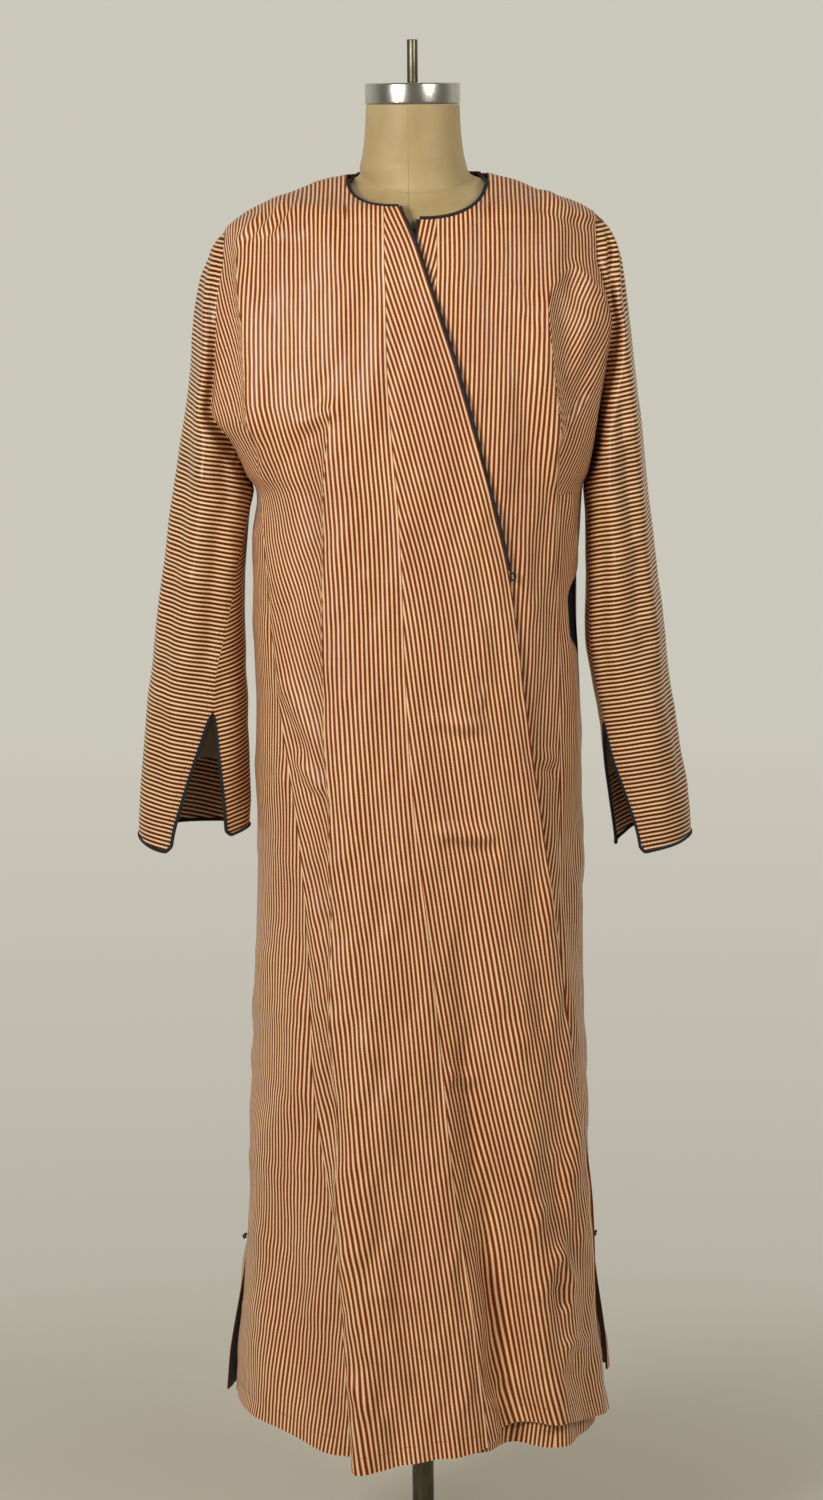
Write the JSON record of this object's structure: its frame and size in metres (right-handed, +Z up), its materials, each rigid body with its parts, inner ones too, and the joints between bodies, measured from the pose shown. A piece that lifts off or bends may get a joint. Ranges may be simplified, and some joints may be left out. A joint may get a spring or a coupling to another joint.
{
  "type": "silk kaftan on a dress form",
  "caption": "Long striped silk kaftan wrapped right over left, with long slit-cuffed sleeves and side vents, worn by a limbless dress form on a pole and round base.",
  "frame": {"origin": "on the floor at the middle of the base's underside, on the pole's axis", "axes": "+Z up; the kaftan's front faces -Y; the wearer's right side is at -X"},
  "size_m": [0.6372, 0.4, 1.803],
  "materials": {
    "striped_silk": "light satin, warp stripes of rust red and cream",
    "sleeve_silk": "light satin, stripes of golden brown and cream",
    "dark_braid": "matt cord",
    "navy_facing": "matt cloth",
    "buff_canvas": "matt canvas",
    "brushed_metal": "brushed",
    "dull_steel": "dull, darkened"
  },
  "bodies": {
    "root": {"front_panel_right": "striped_silk", "front_gore_right": "striped_silk", "front_panel_left": "striped_silk", "front_gore_left": "striped_silk", "back_panel": "striped_silk", "side_gore_front_right": "striped_silk", "side_gore_front_left": "striped_silk", "side_gore_back_right": "striped_silk", "side_gore_back_left": "striped_silk", "gusset_front_right": "striped_silk", "gusset_front_left": "striped_silk", "gusset_back_right": "striped_silk", "gusset_back_left": "striped_silk", "sleeve_right": "sleeve_silk", "sleeve_left": "sleeve_silk", "neck_braid": "dark_braid", "edge_braid_right": "dark_braid", "edge_braid_left": "dark_braid", "edge_loop": "dark_braid", "cuff_braid_right": "dark_braid", "cuff_braid_left": "dark_braid", "vent_knot_right": "dark_braid", "vent_knot_left": "dark_braid", "vent_facing_right": "navy_facing", "vent_facing_left": "navy_facing", "pocket_facing_right": "navy_facing", "pocket_facing_left": "navy_facing", "form_torso": "buff_canvas", "neck_cap": "brushed_metal", "top_post": "dull_steel", "pole": "dull_steel", "base": "dull_steel"}
  },
  "joints": []
}
